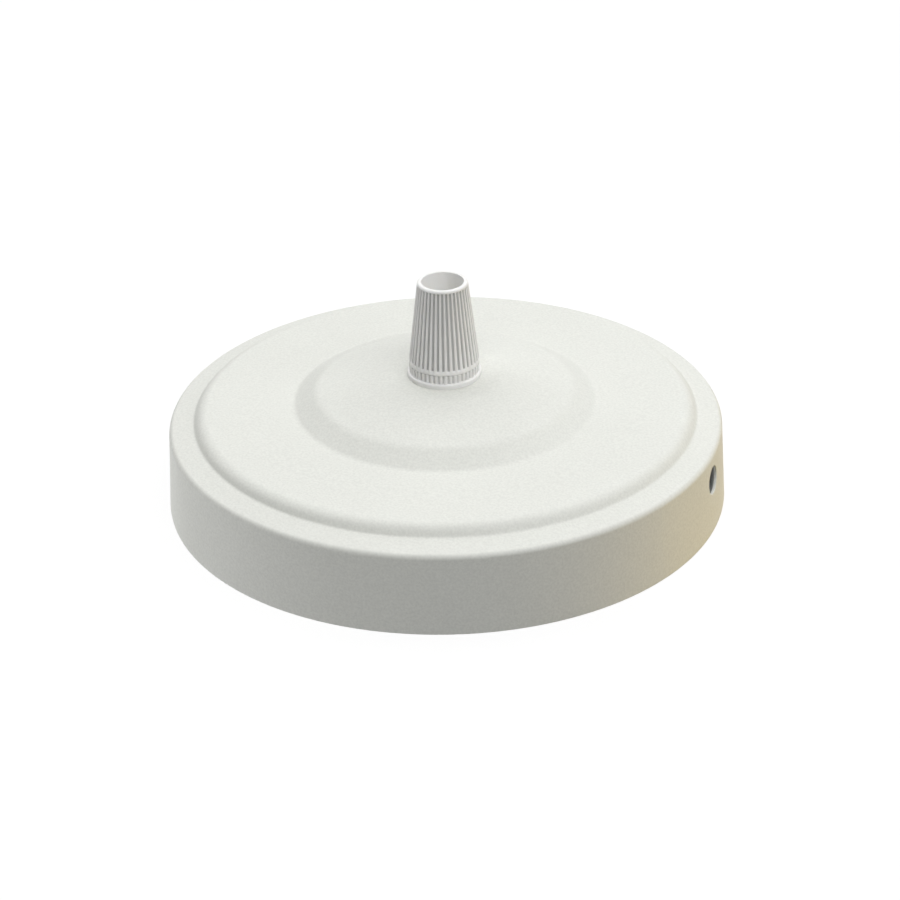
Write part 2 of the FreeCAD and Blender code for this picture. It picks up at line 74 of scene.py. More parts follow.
# Thread: rows in a turn, slope and start of its flank, and the turns over which it fades at each end
THREAD_ROWS = 8
THREAD_FLANK = 1.6
THREAD_START = 0.3
THREAD_FADE = 0.6

# Size of the features in each finish, in metres
COAT_GRAIN = 0.00045
COAT_FLOW = 0.0016
COAT_CLOUD = 0.013
NYLON_SKIN = 0.00012
NYLON_FLOW = 0.004
METAL_LINES = 0.00025
METAL_CLOUD = 0.005

# The part of its range that most of a noise lies in
NOISE_LOW, NOISE_HIGH = 0.3, 0.7

WHITE = (1.0, 1.0, 1.0)

# Soft boxes: how far right, ahead and above as the camera sees it, and the side of each, in metres
SOFT_BOXES = {
    "back_left": (-0.55, 0.55, 0.9, 1.2),
    "back_right": (0.55, 0.55, 0.9, 1.2),
    "front": (0.0, -0.75, 0.95, 0.8),
    "front_right": (0.6, -0.6, 0.8, 0.8),
    "table": (-0.8, 0.0, -0.7, 1.2),
}
WARM_PLACE = (0.14, -0.02, -0.03)
WARM_AIM = (0.05, 0.0, 0.008)
WARM_SIDE = 0.09
CROWN_AIM = (0.0, 0.0, 0.02)


# Sizes and colours that a user would change

def at(node, corner, axis):
    """One coordinate of a node's box, from its lowest (0) or highest (1) corner, to 0.01 mm."""
    return round(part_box(node)[corner][axis], 5)


def length(name, description, default):
    return FloatProperty(name=name, description=description, default=default, unit="LENGTH", precision=5)


def degrees(name, description, default):
    return FloatProperty(name=name, description=description, default=math.radians(default), subtype="ANGLE")


def count(name, description, default):
    return IntProperty(name=name, description=description, default=default, min=1)


def plain(name, description, default):
    return FloatProperty(name=name, description=description, default=default, min=0.0)


def power(name, description, default):
    return FloatProperty(name=name, description=description, default=default, min=0.0, subtype="POWER")


def colour(name, description, default):
    return FloatVectorProperty(
        name=name, description=description, default=default, subtype="COLOR", size=3, min=0.0, max=1.0)


class RoseCanopySizes(PropertyGroup):
    rim_radius: length("Rim radius", "Outside of the wall", at("canopy", 1, 0))
    height: length("Height", "Rim plane to crown", at("canopy", 1, 2))
    sheet: length("Sheet", "Thickness of the pressed steel", 0.0006)
    edge: length("Edge", "Rounding that the coat leaves on cut edges", 0.00015)
    wall_draft: length("Wall draft", "How far the wall leans in from rim to shoulder", 0.0008)
    shoulder_height: length("Shoulder height", "Corner between wall and ledge", 0.0158)
    shoulder_round: length("Shoulder round", "Radius between wall and ledge", 0.0011)
    ledge_width: length("Ledge width", "From shoulder to foot of the step", 0.0048)
    ledge_rise: length("Ledge rise", "Slope of the ledge", 0.0011)
    step_width: length("Step width", "Slant of the step", 0.0013)
    step_rise: length("Step rise", "Height of the step", 0.0018)
    step_foot_round: length("Step foot round", "Radius at the foot of the step", 0.0008)
    step_top_round: length("Step top round", "Radius at the top of the step", 0.003)
    plateau_radius: length("Plateau radius", "Inner end of the plateau", 0.029)
    plateau_rise: length("Plateau rise", "Slope of the plateau", 0.0008)
    swage_width: length("Swage width", "From plateau to dome", 0.0043)
    swage_rise: length("Swage rise", "Height from plateau to dome", 0.0026)
    swage_foot_round: length("Swage foot round", "Radius between plateau and swage", 0.002)
    swage_top_round: length("Swage top round", "Radius between swage and dome", 0.005)
    seat_radius: length("Seat radius", "Flat crown under the cord grip", 0.0115)
    seat_round: length("Seat round", "Radius between dome and seat", 0.008)
    stem_hole: length("Stem hole", "Radius of the hole in the crown", 0.0052)
    side_hole: length("Side hole", "Radius of the side screw holes", 0.0027)
    side_hole_height: length("Side hole height", "Rim plane to the screw holes", 0.0106)
    columns: count("Columns", "Divisions round the axis", 480)


class RoseGripSizes(PropertyGroup):
    stem_foot: length("Stem foot", "Lower end of the threaded stem", at("grip_base", 0, 2))
    seat: length("Seat", "Underside of the flange", at("canopy", 1, 2))
    bore: length("Bore", "Radius of the cord's way", 0.0034)
    thread: length("Thread", "Outside radius of the thread", 0.005)
    thread_pitch: length("Thread pitch", "Lift in one turn", 0.001)
    thread_depth: length("Thread depth", "Depth of the moulded thread", 0.00032)
    flange_radius: length("Flange radius", "Outside of the flange", 0.0071)
    flange_height: length("Flange height", "Thickness of the flange", 0.001)
    flange_round: length("Flange round", "Radius on the flange's upper edge", 0.0003)
    collar_radius: length("Collar radius", "Outside of the collar's teeth and of the cap's foot", 0.0067)
    collar_height: length("Collar height", "Height of the teeth", 0.0016)
    collar_teeth: count("Collar teeth", "Teeth round the collar", 45)
    tooth_gap: length("Tooth gap", "Width between two teeth", 0.0004)
    tooth_depth: length("Tooth depth", "Depth between two teeth", 0.00035)
    spigot_top: length("Spigot top", "Upper end of the threaded spigot", at("grip_base", 1, 2))
    taper_mouth: length("Taper mouth", "Radius of the taper at the top", 0.0044)
    taper_foot: length("Taper foot", "Radius of the taper at its foot", 0.00385)
    taper_depth: length("Taper depth", "Depth of the taper", 0.0036)
    cap_foot: length("Cap foot", "Lower end of the cap", at("grip_cap", 0, 2))
    cap_top: length("Cap top", "Upper end of the cap", at("grip_cap", 1, 2))
    cap_ring: length("Cap ring", "Height of the smooth ring below the flutes", 0.0009)
    cap_top_radius: length("Cap top radius", "Cone at the lip", 0.0048)
    mouth: length("Mouth", "Radius of the mouth", 0.004)
    lip_round: length("Lip round", "Radius of the lip", 0.00045)
    flutes: count("Flutes", "Flutes round the cap", 40)
    flute_width: length("Flute width", "Width of one flute", 0.00044)
    flute_depth: length("Flute depth", "Depth of one flute", 0.0004)
    flute_end: length("Flute end", "Smooth band above the flutes", 0.0005)
    cap_thread: length("Cap thread", "Radius of the cap's thread bore", 0.00508)
    bead: length("Bead", "Radius of the bead that holds the collet", 0.0045)
    bead_foot: length("Bead foot", "Height of the bead above the cap's foot", 0.00538)
    bead_height: length("Bead height", "Height of the bead", 0.0004)
    ring_space: length("Ring space", "Height of the room for the collet's ring", 0.00096)
    ring_radius: length("Ring radius", "Radius of that room", 0.00468)
    sleeve_space: length("Sleeve space", "Height of the room for the collet's sleeve", 0.004)
    sleeve_radius: length("Sleeve radius", "Radius of that room", 0.00418)
    edge: length("Edge", "Rounding that the mould leaves on edges", 0.00006)


class RoseFinishColours(PropertyGroup):
    powder_coat: colour("Powder coat", "Off-white coat of the canopy", (0.80, 0.81, 0.762))
    white_nylon: colour("White nylon", "Moulding of the cord grip", (0.91, 0.907, 0.894))
    natural_nylon: colour("Natural nylon", "Collet and terminal block", (0.70, 0.685, 0.60))
    zinc: colour("Zinc", "Plated steel of the fixings", (0.56, 0.57, 0.59))
    brass: colour("Brass", "Earth nut and terminal tubes", (0.72, 0.52, 0.24))


class RoseStageSettings(PropertyGroup):
    azimuth: degrees("Azimuth", "Camera's turn round the axis", 20.2)
    elevation: degrees("Elevation", "Camera's height above the rim plane", 29.44)
    roll: degrees("Roll", "Lean of the picture", 1.30)
    pan: degrees("Pan", "Camera's turn to the right of the axis", 0.0585)
    tilt: degrees("Tilt", "Camera's turn above the rim's centre", 0.742)
    distance: length("Distance", "Camera to the rim's centre", 0.556)
    lens: FloatProperty(
        name="Lens", description="Focal length on a 36 mm frame", default=113.6, unit="CAMERA")
    floor_size: length("Floor size", "Side of the floor", 6.0)
    floor_drop: length("Floor drop", "Floor below the rim plane", 0.00005)
    floor_glow: plain("Floor glow", "White that the floor gives by itself near the object", 0.88)
    floor_matt: plain("Floor matt", "White that it gives back, less where the object's shadow falls", 0.15)
    fade_start: length("Fade start", "From here outwards the floor fades to plain white", 0.12)
    fade_end: length("Fade end", "From here outwards the floor is plain white", 0.5)
    ambient: plain("Ambient", "Light from all round", 0.02)
    back_left: power("Back left", "Soft box high behind on the left", 7.73)
    back_right: power("Back right", "Soft box high behind on the right", 6.83)
    front: power("Front", "Soft box high above the camera", 4.33)
    front_right: power("Front right", "Soft box above the camera's right", 5.0)
    table: power("Table", "Soft box under the light table, on the left", 9.6)
    warm: power("Warm", "Small warm card under the table's right edge", 0.036)
    warm_colour: colour("Warm colour", "Colour of the warm card", (1.0, 0.65, 0.02))


# Surfaces

def outline(corners, spacing, closed=False):
    """Section of straight runs and arcs, as an array of (r, z) points.

    A corner is r, z, radius and the number of points on its arc, then the longest division of the run after
    it if that differs from spacing. The arc touches both runs at radius * tan(turn / 2) from the corner, and
    its points are centre + radius * (cos a, sin a)."""
    corner = np.array([c[:2] for c in corners], float)
    radius = np.array([c[2] for c in corners], float)
    ahead = np.roll(corner, -1, 0) - corner
    ahead /= np.linalg.norm(ahead, axis=1)[:, None]
    behind = np.roll(ahead, 1, 0)
    turn = np.arctan2(
        behind[:, 0] * ahead[:, 1] - behind[:, 1] * ahead[:, 0], (behind * ahead).sum(1))
    start = corner - behind * (radius * np.tan(np.abs(turn) / 2))[:, None]
    side = np.stack([-behind[:, 1], behind[:, 0]], 1) * np.sign(turn)[:, None]
    centre = start + side * radius[:, None]
    first = np.arctan2(start[:, 1] - centre[:, 1], start[:, 0] - centre[:, 0])
    parts = []
    for k, item in enumerate(corners):
        angle = first[k] + turn[k] * np.linspace(0, 1, item[3])
        arc = centre[k] + radius[k] * np.stack([np.cos(angle), np.sin(angle)], 1)
        parts.append(arc if radius[k] else corner[k:k + 1])
        if closed or k + 1 < len(corners):
            run = start[(k + 1) % len(corners)] - parts[-1][-1]
            step = item[4] if len(item) > 4 else spacing
            divisions = max(1, math.ceil(np.linalg.norm(run) / step))
            parts.append(parts[-1][-1] + run * np.arange(1, divisions)[:, None] / divisions)
    return np.concatenate(parts)


def turned(r, z, angle):
    """Points x = r cos a, y = r sin a, z, for arrays that broadcast together."""
    r, z, angle = np.broadcast_arrays(r, z, angle)
    return np.stack([r * np.cos(angle), r * np.sin(angle), z], -1)


def quads(rows, columns, closed_rows):
    """Corner numbers of the quads of a grid that is closed round its columns."""
    i = np.arange(rows if closed_rows else rows - 1)[:, None]
    j = np.arange(columns)[None, :]
    below, right = (i + 1) % rows, (j + 1) % columns
    return np.stack(np.broadcast_arrays(
        i * columns + j, i * columns + right, below * columns + right, below * columns + j), -1)


def shell(name, blocks, recess=None):
    """One closed mesh object from grids of points and their quads, with meeting edges welded.

    Where a share of painted groove shade is given, it is kept as an attribute: 0 on the open surface, 1 on
    the floor of a groove."""
    points, faces, total = [], [], 0
    for grid, corners in blocks:
        points.append(grid.reshape(-1, 3))
        faces.append(corners.reshape(-1, 4) + total)
        total += len(points[-1])
    mesh = bpy.data.meshes.new(name)
    mesh.from_pydata(np.concatenate(points), [], np.concatenate(faces))
    if recess is not None:
        mesh.attributes.new("recess", "FLOAT", "POINT").data.foreach_set("value", recess.ravel())
    work = bmesh.new()
    work.from_mesh(mesh)
    bmesh.ops.remove_doubles(work, verts=work.verts, dist=WELD)
    bmesh.ops.recalc_face_normals(work, faces=work.faces)
    if any(not edge.is_manifold for edge in work.edges):
        raise RuntimeError(name + " has an open edge")
    work.to_mesh(mesh)
    work.free()
    mesh.shade_smooth()
    piece = bpy.data.objects.new(name, mesh)
    bpy.context.scene.collection.objects.link(piece)
    normals = piece.modifiers.new("Normals", "WEIGHTED_NORMAL")
    normals.keep_sharp = True
    return piece


def comb(radius, half, edge, teeth):
    """Angles of the columns round a toothed row, ten to a pitch, and how deep each column lies.

    Round each gap's centre the columns stand at 0, at the gap's half width less and plus its edge, and
    midway between two gaps, so the walls stay straight while the pitch narrows."""
    pitch = TURN / teeth
    lean = 0.4 * edge
    least_floor, least_wall = 0.4 * half, 0.7 * half
    stations = np.stack([
        np.maximum(half - edge, least_floor), np.maximum(half - lean, least_wall),
        half + lean, half + edge], 1) / radius[:, None]
    middle = np.zeros((len(radius), 1))
    offsets = np.concatenate([middle - pitch / 2, -stations[:, ::-1], middle, stations], 1)
    depth = np.array([0.0, 0.0, 0.2, 0.8, 1.0, 1.0, 1.0, 0.8, 0.2, 0.0])
    angle = (np.arange(teeth) * pitch)[None, :, None] + offsets[:, None, :]
    return angle.reshape(len(radius), -1), np.tile(depth, teeth)


def wall_radius(s, z, sunk):
    """Radius of the leaning wall, rim - sunk - draft * z / height.

    Sunk is 0 on the outer face, and the thickness of the sheet on the inner one."""
    return s.rim_radius - sunk - s.wall_draft * z / (s.shoulder_height - sunk)


def canopy_section(s):
    """Closed section of the pressing: the outer face from rim to crown, and back along the inner one.

    The inner face is the outer one lowered by the sheet, with each bend's radius larger or smaller by it."""

    def tight(radius):
        return max(radius - s.sheet, s.sheet / 4)

    shoulder = s.rim_radius - s.wall_draft
    ledge = (shoulder - s.ledge_width, s.shoulder_height + s.ledge_rise)
    step = (ledge[0] - s.step_width, ledge[1] + s.step_rise)
    plateau = (s.plateau_radius, step[1] + s.plateau_rise)
    dome = (plateau[0] - s.swage_width, plateau[1] + s.swage_rise)
    bends = [
        (ledge, s.step_foot_round, 1), (step, s.step_top_round, -1), (plateau, s.swage_foot_round, 1),
        (dome, s.swage_top_round, -1), ((s.seat_radius, s.height), s.seat_round, -1),
    ]
    low, high, row = wall_window(s)
    outside = [
        (s.rim_radius, 0, s.edge, 4),
        (wall_radius(s, low, 0), low, 0, 1, row), (wall_radius(s, high, 0), high, 0, 1),
        (shoulder, s.shoulder_height, s.shoulder_round, 12),
    ]
    inside = [
        (s.rim_radius - s.sheet, 0, s.edge, 4),
        (wall_radius(s, low, s.sheet), low, 0, 1), (wall_radius(s, high, s.sheet), high, 0, 1, row),
        (shoulder - s.sheet, s.shoulder_height - s.sheet, tight(s.shoulder_round), 6),
    ]
    for (r, z), radius, way in bends:
        outside.append((r, z, radius, 9))
        inside.append((r, z - s.sheet, radius + s.sheet if way > 0 else tight(radius), 6))
    outside.append((s.stem_hole, s.height, s.edge / 2, 3))
    inside.append((s.stem_hole, s.height - s.sheet, s.edge / 2, 3))
    return outline(outside + inside[::-1], CANOPY_SPACING, closed=True)


def wall_window(s):
    """Lower and upper edge of the part of the wall that is laid out round a side hole, and its row height."""
    reach = WINDOW_REACH * s.side_hole
    return s.side_hole_height - reach, s.side_hole_height + reach, reach * 2 / WINDOW_ROWS


def hole_ring(s, half_columns, level):
    """Wall between a window of the canopy's grid and the drilled hole, through the sheet and out inside.

    With p the window's edge and q the hole's edge in the same direction, both in the plane across the
    drill, a point is (1 - t) p + t q, set on the wall by x = sqrt(wall radius^2 - y^2) less its depth."""
    across = np.arange(-half_columns, half_columns + 1) * TURN / s.columns
    angle = np.concatenate([
        across[:-1], np.full(len(level) - 1, across[-1]), across[:0:-1], np.full(len(level) - 1, across[0])])
    height = np.concatenate([
        np.full(len(across) - 1, level[0]), level[:-1], np.full(len(across) - 1, level[-1]), level[:0:-1]])
    bend = np.radians([0, 30, 60, 90])
    grow, sink = s.edge * (1 - np.sin(bend)), s.edge * (1 - np.cos(bend))
    spread = np.array([0, 0.3, 0.58, 0.82, 0.94])
    ones, four, five = np.ones(1), np.ones(4), np.ones(5)
    sunk = np.repeat([0.0, s.sheet], [10, 9])[:, None]
    blend = np.concatenate([spread, four, ones, four, spread[::-1]])[:, None]
    drill = s.side_hole + np.concatenate([five * s.edge, grow, 0 * ones, grow[::-1], five * s.edge])[:, None]
    depth = np.concatenate([0 * five, sink, ones * s.sheet / 2, -sink[::-1], 0 * five])[:, None]
    way = np.arctan2(height - s.side_hole_height, s.rim_radius * np.sin(angle))
    y = (1 - blend) * wall_radius(s, height, sunk) * np.sin(angle) + blend * drill * np.cos(way)
    z = (1 - blend) * height + blend * (s.side_hole_height + drill * np.sin(way))
    x = np.sqrt(wall_radius(s, z, sunk) ** 2 - y ** 2) - depth
    return np.stack([x, y, z], -1)


def canopy_blocks(s):
    """The turned section, less a window at each end of the X axis, and the drilled wall in each window."""
    section = canopy_section(s)
    angle = np.arange(s.columns) * TURN / s.columns
    wall = turned(section[:, :1], section[:, 1:], angle[None, :])
    low, high, _ = wall_window(s)
    near = (section[:, 1] > low - WELD) & (section[:, 1] < high + WELD)
    outer = near & (np.abs(section[:, 0] - wall_radius(s, section[:, 1], 0)) < WELD)
    inner = near & (np.abs(section[:, 0] - wall_radius(s, section[:, 1], s.sheet)) < WELD)
    half = round(WINDOW_HALF_WIDTH * s.side_hole / s.rim_radius * s.columns / TURN)
    column = np.arange(s.columns)
    offset = np.minimum((column + half) % s.columns, (column + half + s.columns // 2) % s.columns)
    corners = quads(len(section), s.columns, True)
    rows = (outer & np.roll(outer, -1)) | (inner & np.roll(inner, -1))
    kept = ~(rows[:, None] & (offset < 2 * half)[None, :])
    ring = hole_ring(s, half, section[outer, 1])
    across = quads(ring.shape[0], ring.shape[1], False)
    return [(wall, corners[kept]), (ring, across), (ring * (-1, -1, 1), across)]


def cap_blocks(s):
    """Cone r(z) from foot to lip with flutes sunk square to its slope, then lip, mouth and the rooms inside.

    A flute keeps its half width up to its head, where it is sqrt(w^2 - d^2), d past the head's centre."""
    foot = np.array([s.collar_radius, s.cap_foot + s.cap_ring])
    slant = np.array([s.cap_top_radius, s.cap_top]) - foot
    along = slant / np.linalg.norm(slant)
    run = (s.cap_top - s.flute_end - foot[1]) / along[1]
    half = s.flute_width / 2
    bend = np.radians([0, 20, 40, 58, 73, 84, 90])
    straight = np.concatenate([[s.edge / 2], np.linspace(2 * s.edge, run - half, FLUTE_ROWS)[:-1]])
    distance = np.concatenate([straight, run - half + half * np.sin(bend)])
    width = np.concatenate([np.full(len(straight), half), half * np.cos(bend)])
    cone = foot + distance[:, None] * along
    bead = s.cap_foot + s.bead_foot
    ring = bead + s.bead_height
    sleeve = ring + s.ring_space
    top = sleeve + s.sleeve_space
    small = s.edge
    rest = outline([
        (*cone[-1], 0, 1), (s.cap_top_radius, s.cap_top, s.lip_round, 11), (s.mouth, s.cap_top, 2 * small, 5),
        (s.mouth, top, small, 3), (s.sleeve_radius, top, small, 3), (s.sleeve_radius, sleeve, small, 3),
        (s.ring_radius, sleeve, small, 3), (s.ring_radius, ring, small, 3), (s.bead, ring, small, 3),
        (s.bead, bead, small, 3), (s.cap_thread, bead, small, 3), (s.cap_thread, s.cap_foot, 3 * small, 4),
        (s.collar_radius, s.cap_foot, 2 * small, 5), (*foot, 0, 1),
    ], GRIP_SPACING)[1:]
    section = np.concatenate([cone, rest])
    fluted = np.arange(len(section)) < len(cone) - 1
    width = np.concatenate([width, np.full(len(rest), half)])
    reference = np.where(np.arange(len(section)) < len(cone), section[:, 0], s.collar_radius)
    angle, share = comb(reference, width, s.edge, s.flutes)
    sunk = fluted[:, None] * share[None, :] * s.flute_depth
    grid = turned(section[:, :1] - sunk * along[1], section[:, 1:] + sunk * along[0], angle)
    # The second value is the share of painted shade at each point: 1 on a flute's floor, 0 on the ribs
    return [(grid, quads(*angle.shape, True))], sunk / s.flute_depth


def thread_rows(radius, low, high, pitch):
    """Section of a threaded length, with a row for each division of a turn."""
    z = np.linspace(low, high, round(THREAD_ROWS * (high - low) / pitch) + 1)
    return np.stack([np.full_like(z, radius), z], 1)


def base_blocks(s):
    """Stem, flange, toothed collar and spigot, turned as one section.

    In the collar's rows the gaps are sunk by the tooth depth. In the threaded rows the radius falls by
    depth * clip(flank |2 u - 1| - start), u the fraction of a turn (z / pitch - a / 2 pi), and the thread
    fades at both ends."""
    flange_top = s.seat + s.flange_height
    collar_top = flange_top + s.collar_height
    taper = s.spigot_top - s.taper_depth
    small = s.edge
    tooth_z = np.concatenate([
        [flange_top + small / 2], np.linspace(flange_top + 2 * small, collar_top - small, 6)])
    teeth = np.stack([np.full_like(tooth_z, s.collar_radius), tooth_z], 1)
    crest = np.array([[s.collar_radius - small, collar_top]])
    land = np.array([[s.collar_radius - 1.4 * s.tooth_depth, collar_top], [s.thread + 2 * small, collar_top]])
    spigot = thread_rows(s.thread, collar_top, s.spigot_top, s.thread_pitch)
    inside = outline([
        (s.thread, s.spigot_top, 0, 1), (s.taper_mouth, s.spigot_top, small, 3),
        (s.taper_foot, taper, small, 3), (s.bore, taper, small, 3),
        (s.bore, s.stem_foot, 2 * small, 4), (s.thread, s.stem_foot, 0, 1),
    ], GRIP_SPACING)[1:-1]
    stem = thread_rows(s.thread, s.stem_foot, s.seat, s.thread_pitch)
    flange = outline([
        (s.thread, s.seat, 0, 1), (s.flange_radius, s.seat, 2 * small, 5),
        (s.flange_radius, flange_top, s.flange_round, 8), (s.collar_radius, flange_top, 0, 1),
    ], FLANGE_SPACING)[1:]
    parts = [teeth, crest, land, spigot, inside, stem, flange]
    section = np.concatenate(parts)
    kind = np.repeat(np.arange(len(parts)), [len(part) for part in parts])
    toothed = kind < 2
    angle, share = comb(
        np.full(len(section), s.collar_radius), np.full(len(section), s.tooth_gap / 2), small, s.collar_teeth)
    gaps = toothed[:, None] * share[None, :]
    turn = (section[:, 1:] / s.thread_pitch - angle / TURN) % 1.0
    cut = np.clip(THREAD_FLANK * np.abs(2 * turn - 1) - THREAD_START, 0, 1)
    ends = np.stack([section[:, 1] - collar_top, s.spigot_top - section[:, 1]])
    stem_ends = np.stack([section[:, 1] - s.stem_foot, s.seat - section[:, 1]])
    room = np.where(kind == 3, ends.min(0), np.where(kind == 5, stem_ends.min(0), 0))
    fade = np.clip(room / (THREAD_FADE * s.thread_pitch), 0, 1)
    r = section[:, :1] - s.tooth_depth * gaps - s.thread_depth * cut * fade[:, None]
    # The second value is the share of painted shade: up to one half in the gaps between the collar's teeth
    return [(turned(r, section[:, 1:], angle), quads(*angle.shape, True))], gaps / 2


# Finishes

def add(tree, kind, inputs=(), **settings):
    """A node with its settings, and its inputs set or linked by name or number."""
    item = tree.nodes.new(kind)
    for name, setting in settings.items():
        setattr(item, name, setting)
    for name, given in dict(inputs).items():
        if isinstance(given, bpy.types.NodeSocket):
            tree.links.new(given, item.inputs[name])
        else:
            item.inputs[name].default_value = given
    return item


def new_finish(name):
    material = bpy.data.materials.new(name)
    material.use_nodes = True
    tree = material.node_tree
    shader = next(item for item in tree.nodes if item.type == "BSDF_PRINCIPLED")
    place = tree.nodes.new("ShaderNodeTexCoord").outputs["Object"]
    return material, tree, shader, place


def grain(tree, place, size, detail=2.0, stretch=None):
    """Noise with features of about the given size in metres, drawn out along an axis where stretch says."""
    if stretch:
        place = add(tree, "ShaderNodeMapping", {"Vector": place, "Scale": stretch}).outputs["Vector"]
    return add(tree, "ShaderNodeTexNoise", {"Vector": place, "Scale": 1 / size, "Detail": detail}).outputs[0]


def shades(tree, factor, colour_value, darker, lighter):
    """Colour that runs from a darker to a lighter share of the given one."""
    ramp = add(tree, "ShaderNodeValToRGB", {"Fac": factor})
    for stop, place, share in zip(ramp.color_ramp.elements, (NOISE_LOW, NOISE_HIGH), (darker, lighter)):
        stop.position = place
        stop.color = (*[min(1.0, share * c) for c in colour_value], 1.0)
    return ramp.outputs["Color"]


def between(tree, factor, low, high):
    """Map a noise's usual span to low and high."""
    inputs = {0: factor, 1: NOISE_LOW, 2: NOISE_HIGH, 3: low, 4: high}
    return add(tree, "ShaderNodeMapRange", inputs).outputs[0]


def mix(tree, factor, first, second, blend="MIX"):
    """Blend of two colours."""
    inputs = {0: factor, 6: first, 7: second}
    return add(tree, "ShaderNodeMix", inputs, data_type="RGBA", blend_type=blend).outputs[2]


def relief(tree, height, depth, under=None):
    """Bump of the given depth in metres, on top of another where one is given."""
    inputs = {"Height": height, "Distance": depth, "Strength": 1.0}
    if under:
        inputs["Normal"] = under
    return add(tree, "ShaderNodeBump", inputs).outputs["Normal"]


def powder_coat(base):
    """Fine-textured coat: a close grain over a softer flow, with a slightly uneven tone and gloss."""
    material, tree, shader, place = new_finish("powder_coat")
    fine = grain(tree, place, COAT_GRAIN)
    flow = grain(tree, place, COAT_FLOW)
    cloud = grain(tree, place, COAT_CLOUD, 3.0)
    tone = shades(tree, fine, base, 0.90, 1.0)
    wide = shades(tree, cloud, WHITE, 0.985, 1.0)
    tree.links.new(mix(tree, 1.0, tone, wide, "MULTIPLY"), shader.inputs["Base Color"])
    tree.links.new(between(tree, flow, 0.5, 0.62), shader.inputs["Roughness"])
    tree.links.new(relief(tree, fine, 0.00002, relief(tree, flow, 0.000018)), shader.inputs["Normal"])
    shader.inputs["Specular IOR Level"].default_value = 0.35
    return material


def nylon(name, base, gloss):
    """Moulded nylon: a little light under the surface, a spark-eroded skin, a flow tone and painted shade on
    the floors of the grooves.
    """
    material, tree, shader, place = new_finish(name)
    skin = grain(tree, place, NYLON_SKIN)
    flow = grain(tree, place, NYLON_FLOW)
    tone = shades(tree, flow, base, 0.97, 1.0)
    # Painted shade: the base colour darkens to 0.6 of itself on the floors of grooves, where shade falls
    depth = add(tree, "ShaderNodeAttribute", attribute_name="recess").outputs["Fac"]
    painted_groove_shade = (*[0.6 * c for c in base], 1.0)
    tree.links.new(mix(tree, depth, tone, painted_groove_shade), shader.inputs["Base Color"])
    tree.links.new(between(tree, skin, gloss, gloss + 0.12), shader.inputs["Roughness"])
    tree.links.new(relief(tree, skin, 0.000003), shader.inputs["Normal"])
    shader.inputs["Subsurface Weight"].default_value = 0.1
    shader.inputs["Subsurface Radius"].default_value = (1.0, 0.9, 0.75)
    shader.inputs["Subsurface Scale"].default_value = 0.0001
    shader.inputs["IOR"].default_value = 1.53
    return material


def metal(name, base, stretch, gloss):
    """Plated or drawn metal: fine lines along the work, a cloudy tone and uneven gloss."""
    material, tree, shader, place = new_finish(name)
    lines = grain(tree, place, METAL_LINES, 3.0, stretch)
    cloud = grain(tree, place, METAL_CLOUD, 3.0)
    tone = shades(tree, cloud, base, 0.82, 1.05)
    drawn = shades(tree, lines, WHITE, 0.88, 1.0)
    tree.links.new(mix(tree, 1.0, tone, drawn, "MULTIPLY"), shader.inputs["Base Color"])
    tree.links.new(between(tree, cloud, gloss, gloss + 0.15), shader.inputs["Roughness"])
    tree.links.new(relief(tree, lines, 0.000004), shader.inputs["Normal"])
    shader.inputs["Metallic"].default_value = 1.0
    return material


def wear(piece, material):
    piece.data.materials.clear()
    piece.data.materials.append(material)


def dress(node, material):
    """Give a carried-over node its finish, and smooth its curved faces up to the crease angle."""
    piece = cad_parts[node]
    wear(piece, material)
    piece.data.shade_smooth()
    weld = piece.modifiers.new("Weld", "WELD")
    weld.merge_threshold = WELD
    crease = piece.modifiers.new("Crease", "EDGE_SPLIT")
    crease.split_angle = CREASE
    crease.use_edge_sharp = False


def mount_piece(piece, material, body, node):
    wear(piece, material)
    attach(piece, body)
    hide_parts(node)


# Pieces

class ROSE_OT_canopy(Operator):
    """Turn the pressed canopy with its two drilled side holes, in powder coat"""
    bl_idname = "rose.canopy"
    bl_label = "Canopy"

    def execute(self, context):
        piece = shell("canopy_pressing", canopy_blocks(context.scene.rose_canopy))
        coat = powder_coat(context.scene.rose_finish.powder_coat)
        mount_piece(piece, coat, "rose", "canopy")
        return {"FINISHED"}


class ROSE_OT_grip(Operator):
    """Mould the cord grip's toothed base and fluted cap, and finish the collet between them"""
    bl_idname = "rose.grip"
    bl_label = "Cord grip"

    def execute(self, context):
        sizes = context.scene.rose_grip
        colours = context.scene.rose_finish
        white = nylon("white_nylon", colours.white_nylon, 0.36)
        base = shell("grip_base_moulding", *base_blocks(sizes))
        mount_piece(base, white, "rose", "grip_base")
        cap = shell("grip_cap_moulding", *cap_blocks(sizes))
        mount_piece(cap, white, "cap", "grip_cap")
        dress("clamp_collet", nylon("collet_nylon", colours.natural_nylon, 0.42))
        return {"FINISHED"}


class ROSE_OT_fixings(Operator):
    """Finish the strap, lock nut and washer and the earth stud in zinc and brass"""
    bl_idname = "rose.fixings"
    bl_label = "Fixings"

    def execute(self, context):
        colours = context.scene.rose_finish
        strap = metal("strap_zinc", colours.zinc, (0.06, 1.0, 1.0), 0.34)
        turned_zinc = metal("turned_zinc", colours.zinc, (1.0, 1.0, 0.2), 0.28)
        dress("strap_bracket", strap)
        for node in ("lock_washer", "lock_nut", "earth_stud", "earth_washer"):
            dress(node, turned_zinc)
        dress("earth_nut", metal("nut_brass", colours.brass, (1.0, 1.0, 0.2), 0.26))
        return {"FINISHED"}


class ROSE_OT_terminals(Operator):
    """Finish the terminal block, its tubes and its clamp screws"""
    bl_idname = "rose.terminals"
    bl_label = "Terminals"

    def execute(self, context):
        colours = context.scene.rose_finish
        dress("terminal_block", nylon("block_nylon", colours.natural_nylon, 0.45))
        dress("terminal_barrels", metal("tube_brass", colours.brass, (1.0, 0.08, 1.0), 0.24))
        dress("terminal_screws", metal("screw_zinc", colours.zinc, (1.0, 1.0, 0.2), 0.25))
        return {"FINISHED"}


# Stage

